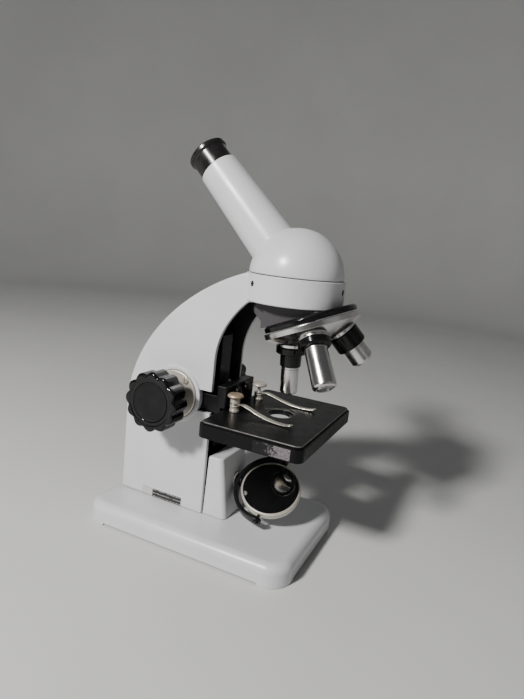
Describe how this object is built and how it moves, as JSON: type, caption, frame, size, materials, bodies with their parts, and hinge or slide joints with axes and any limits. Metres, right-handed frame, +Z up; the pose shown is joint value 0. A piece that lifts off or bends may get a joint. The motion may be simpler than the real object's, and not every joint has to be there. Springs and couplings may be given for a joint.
{
  "type": "kids microscope",
  "caption": "School light microscope with inclined eyepiece, objective turret, rack-focused stage with spring clips, and a forked mirror.",
  "frame": {"origin": "centre of the bounding box in plan, on the surface that the four base feet stand on", "axes": "+Z up, +X from the arm towards the front of the stage, +Y away from the near focus knob"},
  "size_m": [0.1668, 0.1, 0.2625],
  "materials": {
    "grey_enamel": "satin",
    "black_enamel": "satin",
    "black_plastic": "gloss",
    "dark_cap": "matt",
    "chrome": "polished",
    "nickel": "brushed",
    "spring_steel": "brushed",
    "steel": "turned",
    "brass": "turned",
    "optical_glass": "polished",
    "mirror_glass": "polished"
  },
  "bodies": {
    "frame": {"base_shell": "grey_enamel", "arm_casting": "grey_enamel", "mirror_pillar": "grey_enamel", "arm_bolt_rear": "steel", "arm_bolt_front": "steel", "pillar_bolt": "steel", "guide_rail": "black_enamel", "bearing_plate_near": "nickel", "bearing_plate_far": "nickel", "bearing_screw_near_1": "steel", "bearing_screw_near_2": "steel", "bearing_screw_far_1": "steel", "bearing_screw_far_2": "steel", "set_screw_front": "steel", "set_screw_near": "steel", "set_screw_far": "steel", "nosepiece_mount": "black_enamel", "turret_plate": "black_enamel"},
    "turret": {"turret_dome": "chrome", "turret_screw": "steel", "objective_low_neck": "black_enamel", "objective_low_barrel": "chrome", "objective_low_lens": "optical_glass", "objective_high_neck": "black_enamel", "objective_high_barrel": "chrome", "objective_high_lens": "optical_glass", "objective_medium_neck": "black_enamel", "objective_medium_barrel": "chrome", "objective_medium_lens": "optical_glass"},
    "head": {"head_dome": "grey_enamel", "eyepiece_tube": "grey_enamel", "prism": "optical_glass"},
    "eyepiece": {"eyepiece_barrel": "black_plastic", "eye_lens": "optical_glass", "field_lens": "optical_glass"},
    "focus_drive": {"pinion_shaft": "steel", "pinion_gear": "brass", "focus_knob_near": "black_plastic", "focus_knob_far": "black_plastic", "knob_cap_near": "dark_cap", "knob_cap_far": "dark_cap"},
    "stage": {"stage_carrier": "black_enamel", "rack": "steel", "stage_plate": "black_enamel", "aperture_ring": "dark_cap", "stage_screw_near": "black_enamel", "stage_screw_far": "black_enamel"},
    "clip_near": {"clip_post_near": "nickel", "clip_head_near": "brass", "spring_clip_near": "spring_steel"},
    "clip_far": {"clip_post_far": "nickel", "clip_head_far": "nickel", "spring_clip_far": "spring_steel"},
    "mirror_fork": {"mirror_fork": "black_enamel", "fork_pin": "steel", "pivot_screw_near": "steel", "pivot_screw_far": "steel"},
    "mirror": {"mirror_ring": "chrome", "plane_mirror": "mirror_glass", "concave_mirror": "mirror_glass"}
  },
  "joints": [
    {"name": "focus_turn", "type": "hinge", "parent": "frame", "child": "focus_drive", "pos_m": [-0.0347, 0, 0.0947], "axis": [0, -1, 0], "range_deg": [-96, 77]},
    {"name": "stage_lift", "type": "slide", "parent": "frame", "child": "stage", "axis": [0, 0, 1], "range_m": [-0.01, 0.008]},
    {"name": "head_turn", "type": "hinge", "parent": "frame", "child": "head", "pos_m": [0.03375, 0, 0.1812], "axis": [0, 0, 1], "continuous": true},
    {"name": "eyepiece_pull", "type": "slide", "parent": "head", "child": "eyepiece", "axis": [-0.7071, 0, 0.7071], "range_m": [0, 0.027]},
    {"name": "turret_turn", "type": "hinge", "parent": "frame", "child": "turret", "pos_m": [0.04714, 0, 0.15419], "axis": [0.3987, 0, -0.9171], "continuous": true},
    {"name": "fork_turn", "type": "hinge", "parent": "frame", "child": "mirror_fork", "pos_m": [0.0335, 0, 0.0366], "axis": [1, 0, 0], "range_deg": [-80, 13]},
    {"name": "mirror_tilt", "type": "hinge", "parent": "mirror_fork", "child": "mirror", "pos_m": [0.0335, 0, 0.0366], "axis": [0, 0.829, 0.5592], "continuous": true},
    {"name": "clip_near_turn", "type": "hinge", "parent": "stage", "child": "clip_near", "pos_m": [0.0088, -0.0181, 0.0955], "axis": [0, 0, 1], "range_deg": [-60, 20]},
    {"name": "clip_far_turn", "type": "hinge", "parent": "stage", "child": "clip_far", "pos_m": [0.0088, 0.0181, 0.0955], "axis": [0, 0, 1], "range_deg": [-20, 60]}
  ],
  "couplings": [
    {"joint": "focus_turn", "follows": "stage_lift", "rad_per_m": 166.67}
  ]
}
